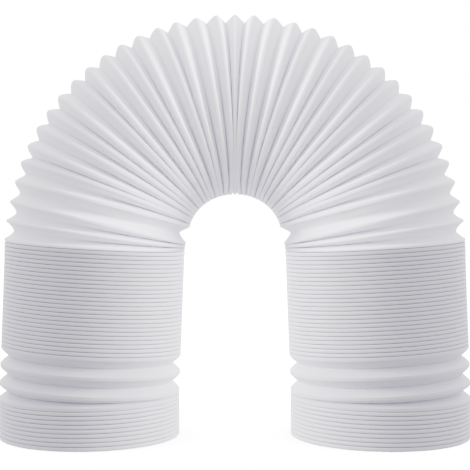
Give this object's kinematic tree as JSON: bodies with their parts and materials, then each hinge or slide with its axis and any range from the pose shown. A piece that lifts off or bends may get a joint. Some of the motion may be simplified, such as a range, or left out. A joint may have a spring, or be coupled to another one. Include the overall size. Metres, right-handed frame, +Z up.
{
  "type": "air conditioner exhaust hose",
  "caption": "White pleated exhaust hose bent into an arch and standing on its two open round ends, with closed pleats on the legs and open pleats over the top.",
  "frame": {"origin": "bottom centre of the whole hose, on the floor midway between the two open ends", "axes": "+X along the width of the arch, from the left end to the right end as the picture shows them, +Y away from the viewer, +Z up"},
  "size_m": [0.3936, 0.1508, 0.3516],
  "materials": {
    "white_plastic": "satin"
  },
  "bodies": {
    "root": {"pleated_hose": "white_plastic"}
  },
  "joints": []
}
